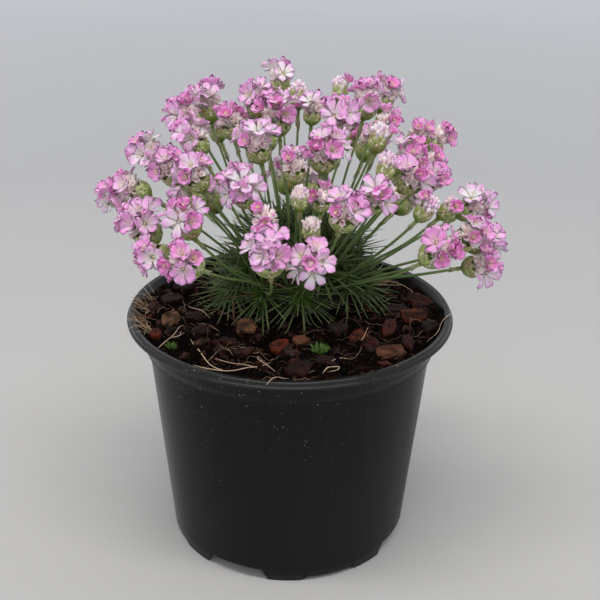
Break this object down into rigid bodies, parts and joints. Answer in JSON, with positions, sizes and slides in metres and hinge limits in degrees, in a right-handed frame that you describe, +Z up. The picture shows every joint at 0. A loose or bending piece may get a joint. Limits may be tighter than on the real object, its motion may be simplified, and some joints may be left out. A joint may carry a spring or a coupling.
{
  "type": "potted juniper-leaved thrift",
  "caption": "Low cushion of needle leaves with a dome of pink globe flower heads on green stalks, planted in a round black nursery pot with a stepped collar.",
  "frame": {"origin": "on the pot's axis, at the ground under its foot ring", "axes": "+Z up, -Y towards the front of the plant, +X to the right seen from the front"},
  "size_m": [0.1594, 0.13, 0.1883],
  "materials": {
    "pot_plastic": "thin black moulded plastic, satin, with soft grey reflections and a little dust",
    "potting_soil": "dark moist peat with red-brown bark chips, tan root fibres and a little moss",
    "woody_stock": "brown woody rootstock, buried to its top",
    "green_leaf": "dark green needle leaves, paler at the tips, with yellow-green stalks and cups",
    "pink_petal": "pale lilac-pink petals with white throats, deeper pink when young",
    "closed_petal": "folded pinkish-white florets in a papery green cup"
  },
  "bodies": {
    "root": {"pot": "pot_plastic", "soil": "potting_soil", "root_stock": "woody_stock", "flower_head_01": "pink_petal", "flower_head_02": "pink_petal", "flower_head_03": "pink_petal", "flower_head_04": "pink_petal", "flower_head_05": "pink_petal", "flower_head_06": "pink_petal", "flower_head_07": "pink_petal", "flower_head_08": "pink_petal", "flower_head_09": "pink_petal", "flower_head_10": "pink_petal", "flower_head_11": "pink_petal", "flower_head_12": "pink_petal", "flower_head_13": "pink_petal", "flower_head_14": "pink_petal", "flower_head_15": "pink_petal", "flower_head_16": "pink_petal", "flower_head_17": "pink_petal", "flower_head_18": "pink_petal", "flower_head_19": "pink_petal", "flower_head_20": "pink_petal", "flower_head_21": "pink_petal", "flower_head_22": "pink_petal", "flower_head_23": "pink_petal", "flower_head_24": "pink_petal", "flower_head_25": "pink_petal", "flower_head_26": "pink_petal", "flower_head_27": "pink_petal", "flower_head_28": "pink_petal", "flower_head_29": "pink_petal", "flower_head_30": "pink_petal", "flower_head_31": "pink_petal", "flower_head_32": "pink_petal", "flower_head_33": "pink_petal", "flower_head_34": "pink_petal", "flower_head_35": "pink_petal", "flower_head_36": "pink_petal", "flower_head_37": "pink_petal", "flower_head_38": "pink_petal", "flower_head_39": "pink_petal", "flower_head_40": "pink_petal", "flower_head_41": "pink_petal", "flower_head_42": "pink_petal", "flower_head_43": "pink_petal", "closed_head_01": "closed_petal", "closed_head_02": "closed_petal", "closed_head_03": "closed_petal", "closed_head_04": "closed_petal", "closed_head_05": "closed_petal", "closed_head_06": "closed_petal", "closed_head_07": "closed_petal", "closed_head_08": "closed_petal", "far_heads_01": "pink_petal", "far_heads_02": "pink_petal", "far_heads_03": "pink_petal", "far_heads_04": "pink_petal", "far_heads_05": "pink_petal", "cushion_and_stalks": "green_leaf"}
  },
  "joints": []
}
